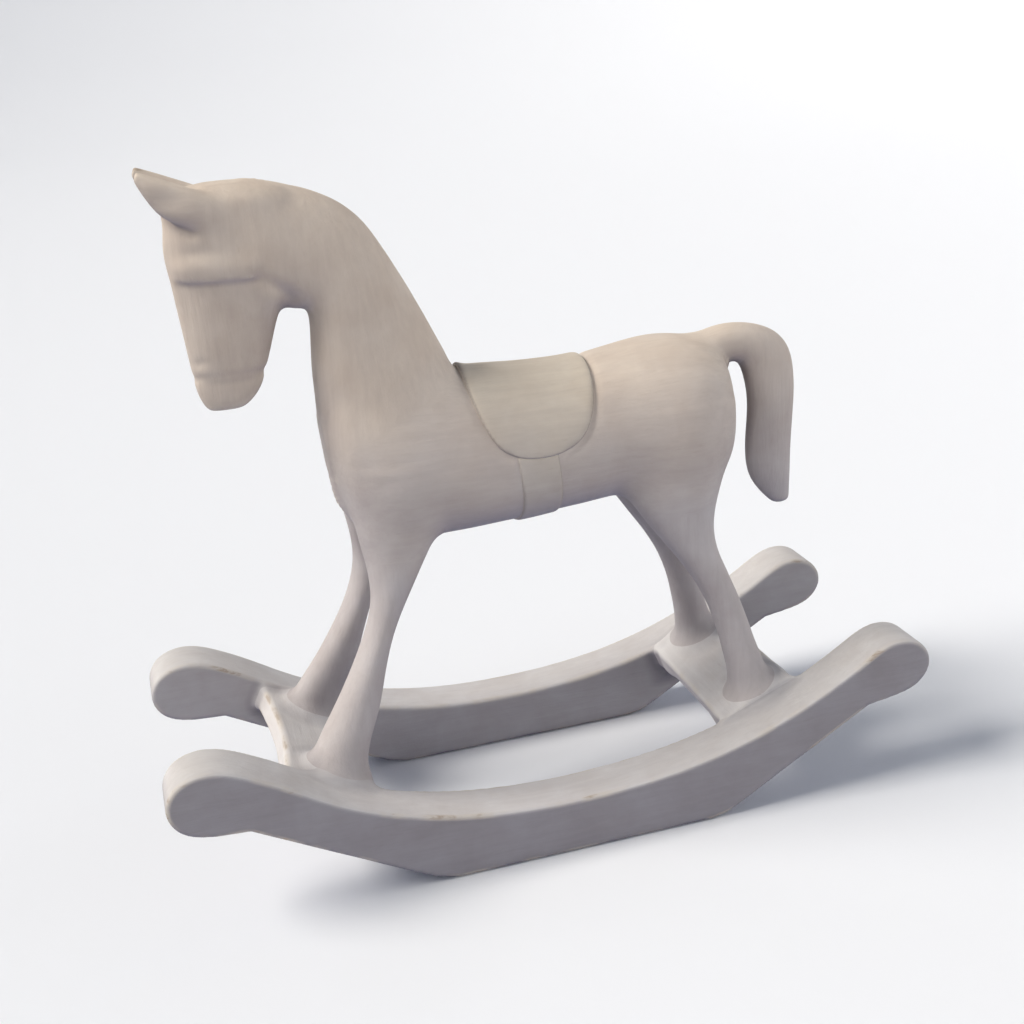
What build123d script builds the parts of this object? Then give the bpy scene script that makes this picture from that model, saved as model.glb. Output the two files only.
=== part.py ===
from build123d import *
from math import cos, sin, tau
import os

# A carved wooden rocking horse on two bow rockers.
#
# The horse is glued up from blocks, carved as one and painted. Its parts are the laminated torso, neck, head, ears,
# four legs, tail, saddle and girth, the two crossbars that carry the hooves, and the two rockers. Dowels and screws
# hold it together from inside.
#
# Frame: +Z up, the horse faces -X, its left side is -Y. The origin is on the floor, midway between the rockers'
# ends. Units are millimetres.

# ---------------------------------------------------------------- driving dimensions
LENGTH = 800.0  # over the ends of the rockers
ROCKER_THICKNESS = 0.067 * LENGTH
ROCKER_INSIDE = 0.119 * LENGTH  # from the middle plane to a rocker's inner face
FLAT_HALF = 0.17 * LENGTH  # half of the flat stretch under each rocker
CROSSBAR_THICKNESS = 24.0
SKIN = 5.0  # how far the saddle and the girth stand proud of the torso
LAMINATION_HALF = 24.0  # half the thickness of the torso's middle board
GLUE_GAP = 0.1  # around each dowel and screw
RING_POINTS = 12

LEFT, RIGHT = -1, 1
FRONT, REAR = -1, 1


def at(*fractions):
    """Fractions of LENGTH, in millimetres."""
    scaled = tuple(f * LENGTH for f in fractions)
    return scaled if len(scaled) > 1 else scaled[0]


# ---------------------------------------------------------------- shape tools
def egg(top, bottom, y, half_width, crown=0.0):
    """A closed egg-shaped ring between two points of a side outline, each (x, z). Its width runs along Y. A positive
    crown narrows its top end."""
    high, low = Vector(top[0], y, top[1]), Vector(bottom[0], y, bottom[1])
    middle, half_depth = (high + low) * 0.5, (high - low) * 0.5
    points = []
    for i in range(RING_POINTS):
        turn = tau * i / RING_POINTS
        width = half_width * cos(turn) * (1 - crown * sin(turn))
        points.append(middle + half_depth * sin(turn) + Vector(0, width, 0))
    return Wire([Edge.make_spline(points, periodic=True)])


def largest(shape):
    """The largest solid of a shape, without slivers that a cut leaves."""
    return max(shape.solids(), key=lambda solid: solid.volume)


def other_side(shape):
    """The mirror image of a solid in the middle plane."""
    return largest(mirror(shape, about=Plane.XZ))


def both_sides(shape):
    """A left-hand solid and its mirror image, by side."""
    return {LEFT: shape, RIGHT: other_side(shape)}


def rod(start, end, radius):
    """A round rod between two points."""
    line = Vector(*end) - Vector(*start)
    return Solid.make_cylinder(radius, line.length, Plane(origin=start, z_dir=line))


def rod_hole(start, end, radius):
    """The hole that a rod sits in, with a little room for glue round it and 1 mm at both ends."""
    room = (Vector(*end) - Vector(*start)).normalized()
    return rod(tuple(Vector(*start) - room), tuple(Vector(*end) + room), radius + GLUE_GAP)


# ---------------------------------------------------------------- rockers
def rocker_outline():
    """The side outline of a rocker: a bow with a round scroll at each end, and a flat stretch under its middle."""
    top = [at(0.0, 0.0745), at(0.1, 0.0795), at(0.2, 0.098), at(0.3, 0.1355), at(0.36, 0.168)]
    scroll = [at(0.40, 0.191), at(0.445, 0.2115), at(0.485, 0.2015), at(0.5, 0.172), at(0.487, 0.146), at(0.45, 0.132)]
    notch = at(0.408, 0.130)
    rear = [Vector(x, 0, z) for x, z in top + scroll + [notch]]
    front = [Vector(-p.X, 0, p.Z) for p in reversed(rear[1:])]
    bow = Edge.make_spline(front + rear)
    flat_rear, flat_front = Vector(FLAT_HALF, 0, 0), Vector(-FLAT_HALF, 0, 0)
    under = [
        Edge.make_line(rear[-1], flat_rear),
        Edge.make_line(flat_rear, flat_front),
        Edge.make_line(flat_front, front[0]),
    ]
    return Wire([bow, *under])


def left_rocker():
    """The left rocker, with its underside's corners rounded into a bow."""
    solid = extrude(Face(rocker_outline()), amount=ROCKER_THICKNESS, dir=(0, 1, 0))
    bends = solid.edges().filter_by(Axis.Y).filter_by_position(Axis.Z, -1, 1)
    solid = fillet(bends, radius=120.0)
    notches = solid.edges().filter_by(Axis.Y).filter_by_position(Axis.Z, 50, at(0.2))
    solid = fillet(notches, radius=30.0)
    return largest(Pos(0, -ROCKER_INSIDE - ROCKER_THICKNESS, 0) * solid)


# ---------------------------------------------------------------- crossbars
CROSSBAR_AT = {FRONT: at(-0.301, 0.137), REAR: at(0.277, 0.127)}  # middle of the top, (x, z)
CROSSBAR_LENGTH = at(0.115)  # along the rocker
CROSSBAR_TILT = {FRONT: 27.0, REAR: -24.5}  # about +Y, degrees
CROSSBAR_WAIST = 9.0  # how far each long edge curves in between its ends
CROSSBAR_EDGE = 5.0


def on_bar(end, shape):
    """Places a shape made in a crossbar's own frame, whose top is z = 0, onto that bar."""
    x, z = CROSSBAR_AT[end]
    return Pos(x, 0, z) * Rot(0, CROSSBAR_TILT[end], 0) * shape


def crossbar(end):
    """A board that lies along the rockers' top slope and runs from one rocker to the other. Its long edges curve in
    towards the middle, so that its ends flare against the rockers."""
    half_length, half_span = CROSSBAR_LENGTH / 2, ROCKER_INSIDE
    waist = half_length - CROSSBAR_WAIST
    outline = Wire([
        Edge.make_three_point_arc((half_length, -half_span), (waist, 0), (half_length, half_span)),
        Edge.make_line((half_length, half_span), (-half_length, half_span)),
        Edge.make_three_point_arc((-half_length, half_span), (-waist, 0), (-half_length, -half_span)),
        Edge.make_line((-half_length, -half_span), (half_length, -half_span)),
    ])
    board = extrude(Face(outline), amount=CROSSBAR_THICKNESS, dir=(0, 0, -1))
    board = fillet(board.edges().filter_by(GeomType.CIRCLE), radius=CROSSBAR_EDGE)
    return largest(on_bar(end, board))


def under_bar(end):
    """All the space below the plane of a crossbar's top."""
    return on_bar(end, Pos(0, 0, -LENGTH / 4) * Box(LENGTH, LENGTH, LENGTH / 2))


# ---------------------------------------------------------------- torso
TORSO_SECTIONS = [  # x, top z, bottom z and half width in fractions of LENGTH, then the crown
    (-0.2455, 0.560, 0.490, 0.026, 0.00),
    (-0.236, 0.595, 0.452, 0.052, 0.00),
    (-0.210, 0.612, 0.414, 0.074, 0.05),
    (-0.160, 0.614, 0.400, 0.088, 0.12),
    (-0.080, 0.604, 0.396, 0.091, 0.18),
    (0.000, 0.599, 0.397, 0.089, 0.18),
    (0.090, 0.598, 0.401, 0.087, 0.15),
    (0.170, 0.607, 0.404, 0.091, 0.10),
    (0.235, 0.604, 0.404, 0.088, 0.06),
    (0.278, 0.585, 0.424, 0.068, 0.00),
    (0.298, 0.555, 0.455, 0.040, 0.00),
    (0.304, 0.530, 0.480, 0.018, 0.00),
]


def torso_block(grow=0.0):
    """The torso as one block. Grow makes each section that much larger all round."""
    rings = []
    for x, top, bottom, half_width, crown in TORSO_SECTIONS:
        high, low = (at(x), at(top) + grow), (at(x), at(bottom) - grow)
        rings.append(egg(high, low, 0, at(half_width) + grow, crown))
    return Solid.make_loft(rings)


def board(y_from, y_to):
    """The space of one of the upright boards that the torso is laminated from."""
    return Pos(0, (y_from + y_to) / 2, at(0.5)) * Box(2 * LENGTH, y_to - y_from, LENGTH)


# ---------------------------------------------------------------- neck, head and ears
NECK_SECTIONS = [  # crest (x, z), throat (x, z), half width, crown
    ((-0.050, 0.560), (-0.210, 0.450), 0.070, 0.15),
    ((-0.074, 0.610), (-0.234, 0.520), 0.074, 0.15),
    ((-0.098, 0.655), (-0.247, 0.580), 0.064, 0.20),
    ((-0.122, 0.706), (-0.2465, 0.640), 0.054, 0.25),
    ((-0.150, 0.760), (-0.2440, 0.690), 0.047, 0.28),
    ((-0.185, 0.806), (-0.2500, 0.703), 0.044, 0.28),
    ((-0.240, 0.840), (-0.2640, 0.706), 0.045, 0.22),
    ((-0.300, 0.854), (-0.3000, 0.720), 0.044, 0.15),
]
HEAD_SECTIONS = [  # z, front x, back x, half width, crown towards the back
    (0.856, -0.352, -0.310, 0.014, 0.00),
    (0.848, -0.380, -0.285, 0.028, 0.00),
    (0.825, -0.396, -0.262, 0.040, -0.05),
    (0.790, -0.399, -0.250, 0.046, -0.12),
    (0.750, -0.396, -0.252, 0.047, -0.18),
    (0.712, -0.393, -0.270, 0.041, -0.15),
    (0.670, -0.389, -0.286, 0.034, -0.08),
    (0.635, -0.386, -0.298, 0.031, -0.02),
    (0.607, -0.378, -0.316, 0.028, 0.00),
    (0.594, -0.368, -0.334, 0.021, 0.00),
]
HEAD_JOINT_X = at(-0.262)  # the plane where head and neck are glued
EAR_Y = 0.020  # from the middle plane to an ear's root, a fraction of LENGTH
EAR_SECTIONS = [  # upper (x, z), lower (x, z), half width, how far out from EAR_Y
    ((-0.340, 0.845), (-0.368, 0.805), 0.013, 0.000),
    ((-0.362, 0.858), (-0.387, 0.825), 0.013, 0.003),
    ((-0.392, 0.870), (-0.405, 0.845), 0.009, 0.008),
    ((-0.417, 0.881), (-0.420, 0.873), 0.003, 0.011),
]


def neck_loft():
    return Solid.make_loft([egg(at(*crest), at(*throat), 0, at(width), crown)
                            for crest, throat, width, crown in NECK_SECTIONS])


def head_loft():
    return Solid.make_loft([egg(at(back, z), at(front, z), 0, at(width), crown)
                            for z, front, back, width, crown in HEAD_SECTIONS])


def left_ear():
    return Solid.make_loft([egg(at(*upper), at(*lower), LEFT * at(EAR_Y + out), at(width))
                            for upper, lower, width, out in EAR_SECTIONS])


def behind(x):
    """All the space on the tail's side of a plane across X."""
    return Pos(x + LENGTH, 0, at(0.5)) * Box(2 * LENGTH, LENGTH, 2 * LENGTH)


# ---------------------------------------------------------------- legs and tail
FRONT_LEG_SECTIONS = [  # z, front x, back x, distance from the middle plane, half width
    (0.480, -0.225, -0.120, 0.046, 0.036),
    (0.430, -0.228, -0.130, 0.052, 0.034),
    (0.390, -0.226, -0.153, 0.058, 0.030),
    (0.345, -0.224, -0.177, 0.066, 0.025),
    (0.300, -0.234, -0.198, 0.073, 0.022),
    (0.250, -0.258, -0.215, 0.080, 0.022),
    (0.200, -0.288, -0.232, 0.087, 0.025),
    (0.160, -0.313, -0.246, 0.092, 0.029),
    (0.080, -0.330, -0.250, 0.094, 0.031),
]
REAR_LEG_SECTIONS = [
    (0.500, 0.120, 0.285, 0.044, 0.036),
    (0.440, 0.105, 0.272, 0.050, 0.038),
    (0.400, 0.130, 0.256, 0.055, 0.036),
    (0.350, 0.162, 0.245, 0.063, 0.030),
    (0.300, 0.196, 0.254, 0.071, 0.025),
    (0.250, 0.214, 0.272, 0.078, 0.023),
    (0.200, 0.229, 0.289, 0.085, 0.024),
    (0.160, 0.240, 0.303, 0.090, 0.028),
    (0.070, 0.242, 0.335, 0.094, 0.031),
]
TAIL_SECTIONS = [  # outer (x, z), inner (x, z), half width
    ((0.258, 0.602), (0.275, 0.556), 0.022),
    ((0.295, 0.612), (0.298, 0.562), 0.022),
    ((0.335, 0.605), (0.313, 0.556), 0.022),
    ((0.374, 0.578), (0.322, 0.532), 0.023),
    ((0.390, 0.522), (0.325, 0.498), 0.024),
    ((0.388, 0.455), (0.323, 0.450), 0.023),
    ((0.386, 0.400), (0.337, 0.396), 0.017),
    ((0.385, 0.355), (0.364, 0.355), 0.008),
]


def left_leg(sections):
    return Solid.make_loft([egg(at(back, z), at(front, z), LEFT * at(y), at(width))
                            for z, front, back, y, width in sections])


def tail_loft():
    return Solid.make_loft([egg(at(*outer), at(*inner), 0, at(width)) for outer, inner, width in TAIL_SECTIONS])


# ---------------------------------------------------------------- saddle and girth
FLAP_HALF = at(0.085)  # half the saddle's length
FLAP_KNEE = at(0.555)  # where its straight sides turn into the round flap
FLAP_LOW = at(0.500)
FLAP_SHOULDER = at(0.058, 0.514)  # a point on the round, (x, z)
GIRTH_HALF = at(0.024)  # half the girth's width


def flap_space():
    """The space of the saddle, seen from the side a U whose open end lies above the back."""
    shoulder_x, shoulder_z = FLAP_SHOULDER
    front, rear = Vector(-FLAP_HALF, 0, FLAP_KNEE), Vector(FLAP_HALF, 0, FLAP_KNEE)
    bottom = Edge.make_spline(
        [front, Vector(-shoulder_x, 0, shoulder_z), Vector(0, 0, FLAP_LOW), Vector(shoulder_x, 0, shoulder_z), rear],
        tangents=[Vector(0, 0, -1), Vector(0, 0, 1)],
    )
    above = Vector(0, 0, at(0.1))
    edges = [
        bottom,
        Edge.make_line(rear, rear + above),
        Edge.make_line(rear + above, front + above),
        Edge.make_line(front + above, front),
    ]
    return extrude(Face(Wire(edges)), amount=LENGTH / 2, both=True)


def girth_space():
    """The space of the girth, a band round the belly."""
    return Pos(0, 0, at(0.45)) * Box(2 * GIRTH_HALF, LENGTH, at(0.3))


# ---------------------------------------------------------------- dowels and screws
NECK_DOWEL_RADIUS, DOWEL_RADIUS, EAR_DOWEL_RADIUS = 8.0, 6.0, 3.0
NECK_DOWELS = [(at(-0.135, 0, 0.545), at(-0.143, 0, 0.665)), (at(-0.198, 0, 0.530), at(-0.203, 0, 0.650))]
HEAD_DOWELS = [(at(-0.230, 0, z), at(-0.300, 0, z)) for z in (0.745, 0.800)]
TAIL_DOWELS = [(at(0.240, 0, 0.574), at(0.318, 0, 0.586))]
EAR_DOWELS = [(at(-0.350, -0.0200, 0.822), at(-0.388, -0.0235, 0.848))]
FRONT_LEG_DOWELS = [
    (at(-0.212, -0.059, 0.365), at(-0.206, -0.046, 0.465)),
    (at(-0.185, -0.059, 0.365), at(-0.168, -0.046, 0.465)),
]
REAR_LEG_DOWELS = [
    (at(0.185, -0.060, 0.365), at(0.175, -0.047, 0.465)),
    (at(0.225, -0.060, 0.365), at(0.225, -0.047, 0.465)),
]
BAR_DOWEL_RADIUS, BAR_DOWEL_REACH, BAR_DOWEL_SPACING = 5.0, 28.0, 50.0
SCREW_RADIUS, SCREW_HEAD_RADIUS, SCREW_HEAD_HEIGHT, SCREW_LENGTH = 2.5, 5.0, 3.0, 62.0
SCREW_SLOT_LENGTH, SCREW_SLOT_WIDTH, SCREW_SLOT_DEPTH = 6.0, 1.0, 1.2
SCREW_Y = at(0.088)


def dowels(ends, radius, mirrored=False):
    """Dowels from a list of end points, and the holes that they sit in. Mirrored repeats them on the other side."""
    if mirrored:
        ends = ends + [[(x, -y, z) for x, y, z in pair] for pair in ends]
    rods = [rod(*pair, radius) for pair in ends]
    holes = [rod_hole(*pair, radius) for pair in ends]
    return rods, holes


def bar_dowels(end):
    """Two dowels at each end of a crossbar, half in the bar and half in the rocker."""
    rods, holes = [], []
    for side in (LEFT, RIGHT):
        for x in (-BAR_DOWEL_SPACING / 2, BAR_DOWEL_SPACING / 2):
            start = (x, side * (ROCKER_INSIDE - BAR_DOWEL_REACH), -CROSSBAR_THICKNESS / 2)
            finish = (x, side * (ROCKER_INSIDE + BAR_DOWEL_REACH), -CROSSBAR_THICKNESS / 2)
            rods.append(on_bar(end, rod(start, finish, BAR_DOWEL_RADIUS)))
            holes.append(on_bar(end, rod_hole(start, finish, BAR_DOWEL_RADIUS)))
    return rods, holes


def screw(gap=0.0):
    """A countersunk screw that points up, with its head's face at z = 0. A gap makes it the hole for one."""
    shank = Pos(0, 0, SCREW_LENGTH / 2) * Cylinder(SCREW_RADIUS + gap, SCREW_LENGTH + 2 * gap)
    head = Cone(SCREW_HEAD_RADIUS + gap, SCREW_RADIUS + gap, SCREW_HEAD_HEIGHT)
    return shank + Pos(0, 0, SCREW_HEAD_HEIGHT / 2) * head


def hoof_screws(end):
    """A screw up through a crossbar into each of its two hooves."""
    slot = Box(SCREW_SLOT_LENGTH, SCREW_SLOT_WIDTH, 2 * SCREW_SLOT_DEPTH)
    slots = slot + Rot(0, 0, 90) * slot
    screws, holes = [], []
    for side in (LEFT, RIGHT):
        place = Pos(0, side * SCREW_Y, -CROSSBAR_THICKNESS)
        screws.append(largest(on_bar(end, place * (screw() - slots))))
        holes.append(largest(on_bar(end, place * screw(gap=GLUE_GAP))))
    return screws, holes


# ---------------------------------------------------------------- assembly
def wooden_parts():
    """Every carved piece, before its dowel and screw holes."""
    block, padded = torso_block(), torso_block(grow=SKIN)
    neck_all, head_all, flap = neck_loft(), head_loft(), flap_space()

    rocker = left_rocker()
    head = largest((head_all + neck_all) - behind(HEAD_JOINT_X))
    rockers = both_sides(rocker)
    ears = both_sides(largest(left_ear() - head))
    legs = {}
    for end, sections in ((FRONT, FRONT_LEG_SECTIONS), (REAR, REAR_LEG_SECTIONS)):
        standing = largest(left_leg(sections) - under_bar(end))
        legs[end] = both_sides(largest(largest(standing - block) - rocker))

    return {
        "left_rocker": rockers[LEFT],
        "right_rocker": rockers[RIGHT],
        "front_crossbar": crossbar(FRONT),
        "rear_crossbar": crossbar(REAR),
        "torso_core": largest(block & board(-LAMINATION_HALF, LAMINATION_HALF)),
        "torso_left": largest(block & board(-LENGTH / 2, -LAMINATION_HALF)),
        "torso_right": largest(block & board(LAMINATION_HALF, LENGTH / 2)),
        "neck": largest((neck_all & behind(HEAD_JOINT_X)) - block),
        "head": head,
        "left_ear": ears[LEFT],
        "right_ear": ears[RIGHT],
        "left_front_leg": legs[FRONT][LEFT],
        "right_front_leg": legs[FRONT][RIGHT],
        "left_rear_leg": legs[REAR][LEFT],
        "right_rear_leg": legs[REAR][RIGHT],
        "tail": largest(tail_loft() - block),
        "saddle": largest((padded & flap) - block - neck_all),
        "girth": largest((padded & girth_space()) - block - flap),
    }


def joinery():
    """Each set of dowels or screws: its solids, its holes, and the pieces that the holes go into."""
    front_hooves, rear_hooves = ["left_front_leg", "right_front_leg"], ["left_rear_leg", "right_rear_leg"]
    torso_sides, rockers = ["torso_left", "torso_right"], ["left_rocker", "right_rocker"]
    return {
        "neck_dowels": (*dowels(NECK_DOWELS, NECK_DOWEL_RADIUS), ["torso_core", "neck"]),
        "head_dowels": (*dowels(HEAD_DOWELS, DOWEL_RADIUS), ["neck", "head"]),
        "ear_dowels": (*dowels(EAR_DOWELS, EAR_DOWEL_RADIUS, True), ["head", "left_ear", "right_ear"]),
        "tail_dowel": (*dowels(TAIL_DOWELS, DOWEL_RADIUS), ["torso_core", "tail"]),
        "front_leg_dowels": (*dowels(FRONT_LEG_DOWELS, DOWEL_RADIUS, True), front_hooves + torso_sides),
        "rear_leg_dowels": (*dowels(REAR_LEG_DOWELS, DOWEL_RADIUS, True), rear_hooves + torso_sides),
        "front_crossbar_dowels": (*bar_dowels(FRONT), rockers + ["front_crossbar"]),
        "rear_crossbar_dowels": (*bar_dowels(REAR), rockers + ["rear_crossbar"]),
        "front_hoof_screws": (*hoof_screws(FRONT), front_hooves + ["front_crossbar"]),
        "rear_hoof_screws": (*hoof_screws(REAR), rear_hooves + ["rear_crossbar"]),
    }


def main():
    os.makedirs("parts", exist_ok=True)
    parts = wooden_parts()
    for name, (solids, holes, drilled) in joinery().items():
        for piece in drilled:
            for hole in holes:
                parts[piece] = largest(parts[piece] - hole)
        parts[name] = Compound(solids)
    for name, shape in parts.items():
        export_step(shape, f"parts/{name}.step")


main()
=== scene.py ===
import math

import bmesh
import bpy
import numpy as np
from mathutils import Matrix, Vector


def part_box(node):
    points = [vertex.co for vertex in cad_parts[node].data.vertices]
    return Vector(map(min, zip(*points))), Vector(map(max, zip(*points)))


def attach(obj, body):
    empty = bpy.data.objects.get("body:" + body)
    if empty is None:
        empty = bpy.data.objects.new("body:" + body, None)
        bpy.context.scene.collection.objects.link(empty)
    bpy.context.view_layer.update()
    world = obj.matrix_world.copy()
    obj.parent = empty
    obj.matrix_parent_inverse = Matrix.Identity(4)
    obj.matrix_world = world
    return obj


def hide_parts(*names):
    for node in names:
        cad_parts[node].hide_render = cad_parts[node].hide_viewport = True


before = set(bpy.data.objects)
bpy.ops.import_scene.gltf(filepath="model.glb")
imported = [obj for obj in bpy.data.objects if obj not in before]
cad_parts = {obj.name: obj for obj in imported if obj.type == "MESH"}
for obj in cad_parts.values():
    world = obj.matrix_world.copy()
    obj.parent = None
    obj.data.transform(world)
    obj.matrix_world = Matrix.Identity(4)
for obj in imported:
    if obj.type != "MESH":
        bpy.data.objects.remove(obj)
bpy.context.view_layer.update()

# A carved and limewashed rocking horse. The horse, its crossbars and its rockers are sculpted as distance fields on a
# grid, turned into meshes, and cut along the wood joints into the same pieces as the CAD model.
#
# Every length in the tables and the fields is a fraction of LENGTH, the length over the rockers. Meshes are in metres.

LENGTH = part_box("left_rocker")[1][0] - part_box("left_rocker")[0][0]
MM = 0.001 / LENGTH  # a millimetre, as a fraction of LENGTH
VOXEL = 2.2 * MM

# ---------------------------------------------------------------- camera
CAMERA_PLACE = (-0.4569, -1.6432, 1.0341)
CAMERA_AZIMUTH, CAMERA_DIP, CAMERA_ROLL = math.radians(15.18), math.radians(20.35), math.radians(4.05)
LENS_MM, SENSOR_MM = 49.04, 36.0


def add_camera():
    """The photograph's camera: it looks down on the horse's left side, from a little in front of it."""
    flat = math.cos(CAMERA_DIP)
    forward = Vector((math.sin(CAMERA_AZIMUTH) * flat, math.cos(CAMERA_AZIMUTH) * flat, -math.sin(CAMERA_DIP)))
    level = forward.cross(Vector((0, 0, 1))).normalized()
    upright = level.cross(forward)
    right = level * math.cos(CAMERA_ROLL) - upright * math.sin(CAMERA_ROLL)
    up = level * math.sin(CAMERA_ROLL) + upright * math.cos(CAMERA_ROLL)
    data = bpy.data.cameras.new("camera")
    data.lens, data.sensor_width = LENS_MM, SENSOR_MM
    camera = bpy.data.objects.new("camera", data)
    bpy.context.scene.collection.objects.link(camera)
    turn = Matrix((right, up, -forward)).transposed().to_4x4()
    camera.matrix_world = Matrix.Translation(Vector(CAMERA_PLACE) * LENGTH) @ turn
    bpy.context.scene.camera = camera


# ---------------------------------------------------------------- smooth curves and fields
def cubic(ts, values):
    """A natural cubic spline through values at ts, as a function of t."""
    ts, values = np.asarray(ts, float), np.asarray(values, float)
    count, gaps = len(ts), np.diff(ts)
    matrix, target = np.eye(count), np.zeros(count)
    for i in range(1, count - 1):
        matrix[i, i - 1:i + 2] = gaps[i - 1], 2 * (gaps[i - 1] + gaps[i]), gaps[i]
        target[i] = 6 * ((values[i + 1] - values[i]) / gaps[i] - (values[i] - values[i - 1]) / gaps[i - 1])
    bends = np.linalg.solve(matrix, target)

    def value(t):
        i = np.clip(np.searchsorted(ts, t) - 1, 0, count - 2)
        h, a, b = gaps[i], ts[i + 1] - t, t - ts[i]
        curve = (bends[i] * a ** 3 + bends[i + 1] * b ** 3) / (6 * h)
        line = (values[i] / h - bends[i] * h / 6) * a + (values[i + 1] / h - bends[i + 1] * h / 6) * b
        return curve + line

    return value


def smooth_min(a, b, reach):
    """The union of two fields, with a fillet of about that reach where they meet."""
    mix = np.clip(0.5 + 0.5 * (b - a) / reach, 0, 1)
    return b * (1 - mix) + a * mix - reach * mix * (1 - mix)


def smooth_max(a, b, reach):
    """The intersection of two fields, with a rounded edge of about that reach."""
    return -smooth_min(-a, -b, reach)


def ramp(value, start, end):
    """0 before start, 1 after end, smooth between."""
    t = np.clip((value - start) / (end - start), 0, 1)
    return t * t * (3 - 2 * t)


def mound(p, centre, radii):
    """A soft mound, 1 at its centre, that fades out over its radii. Its Y mirrors on both sides."""
    x, y, z = p
    squares = ((x - centre[0]) / radii[0]) ** 2 + ((np.abs(y) - centre[1]) / radii[1]) ** 2
    return np.exp(-squares - ((z - centre[2]) / radii[2]) ** 2)


CORNERS = np.array([(i, j, k) for i in (0, 1) for j in (0, 1) for k in (0, 1)])
EDGES = [(a, b) for a in range(8) for b in range(a + 1, 8) if np.abs(CORNERS[a] - CORNERS[b]).sum() == 1]
FAR = 0.2


class Block:
    """A grid of space that holds a distance field: below 0 is wood."""

    SETTLING, LEAST_STEEPNESS = 3, 0.05  # the steps that move the surface's points exactly onto it

    def __init__(self, low, high):
        self.low = np.floor(np.asarray(low, float) / VOXEL) * VOXEL
        counts = np.ceil((np.asarray(high, float) - self.low) / VOXEL).astype(int) + 1
        self.axes = [self.low[i] + VOXEL * np.arange(counts[i]) for i in range(3)]
        self.field = np.full(counts, FAR, np.float32)

    def part(self, low, high):
        """The index ranges of the grid that a box covers, and its points as three broadcastable arrays."""
        ranges = []
        for axis, a, b in zip(self.axes, low, high):
            ranges.append(slice(int(np.searchsorted(axis, a)), int(np.searchsorted(axis, b))))
        x, y, z = (axis[r].astype(np.float32) for axis, r in zip(self.axes, ranges))
        return tuple(ranges), (x[:, None, None], y[None, :, None], z[None, None, :])

    def everywhere(self):
        return self.part(self.low - 1, self.low + 2)[1]

    def cropped(self, low, high):
        """The same field over a smaller box."""
        ranges, _ = self.part(low, high)
        smaller = Block(low, high)
        smaller.axes = [axis[r] for axis, r in zip(self.axes, ranges)]
        smaller.low = np.array([axis[0] for axis in smaller.axes])
        smaller.field = self.field[ranges].copy()
        return smaller

    def sample(self, points):
        """The field at any points, by trilinear interpolation."""
        place = np.clip((points - self.low) / VOXEL, 0, np.array(self.field.shape) - 1.001)
        cell = place.astype(int)
        part = place - cell
        total = np.zeros(len(points))
        for corner in CORNERS:
            weight = np.prod(np.where(corner, part, 1 - part), axis=1)
            total += weight * self.field[tuple((cell + corner).T)]
        return total

    def slope(self, points):
        """The field's gradient at any points."""
        slopes = []
        for step in np.eye(3) * VOXEL:
            slopes.append(self.sample(points + step) - self.sample(points - step))
        return np.stack(slopes, axis=1) / (2 * VOXEL)

    def surface(self):
        """The surface where the field is 0, as points and four-sided faces: one point in each cell that it crosses."""
        inside = self.field < 0
        shape = np.array(self.field.shape) - 1
        filled = np.zeros(shape, np.uint8)
        for c in CORNERS:
            filled += inside[c[0]:c[0] + shape[0], c[1]:c[1] + shape[1], c[2]:c[2] + shape[2]]
        cells = np.argwhere((filled > 0) & (filled < 8))
        values = np.stack([self.field[tuple((cells + c).T)] for c in CORNERS], axis=1).astype(float)
        total, count = np.zeros((len(cells), 3)), np.zeros(len(cells))
        for a, b in EDGES:
            crossed = (values[:, a] < 0) != (values[:, b] < 0)
            share = values[crossed, a] / (values[crossed, a] - values[crossed, b])
            total[crossed] += CORNERS[a] + share[:, None] * (CORNERS[b] - CORNERS[a])
            count[crossed] += 1
        points = self.low + VOXEL * (cells + total / count[:, None])
        number = np.full(shape, -1)
        number[tuple(cells.T)] = np.arange(len(cells))
        faces = []
        for axis in range(3):
            lower = [slice(1, n) for n in shape]
            lower[axis] = slice(0, shape[axis])
            upper = list(lower)
            upper[axis] = slice(1, shape[axis] + 1)
            change = inside[tuple(lower)].astype(np.int8) - inside[tuple(upper)]
            spots = np.argwhere(change != 0)
            flips = change[tuple(spots.T)] < 0
            spots = spots + 1
            spots[:, axis] -= 1
            step_u, step_v = np.eye(3, dtype=int)[(axis + 1) % 3], np.eye(3, dtype=int)[(axis + 2) % 3]
            ring = [spots - step_u - step_v, spots - step_v, spots, spots - step_u]
            quads = np.stack([number[tuple(r.T)] for r in ring], axis=1)
            quads[flips] = quads[flips][:, ::-1]
            faces.append(quads)
        for _ in range(self.SETTLING):
            slope = self.slope(points)
            steepness = np.maximum((slope ** 2).sum(axis=1), self.LEAST_STEEPNESS)
            points = points - slope * (self.sample(points) / steepness)[:, None]
        return points, np.concatenate(faces)


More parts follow.
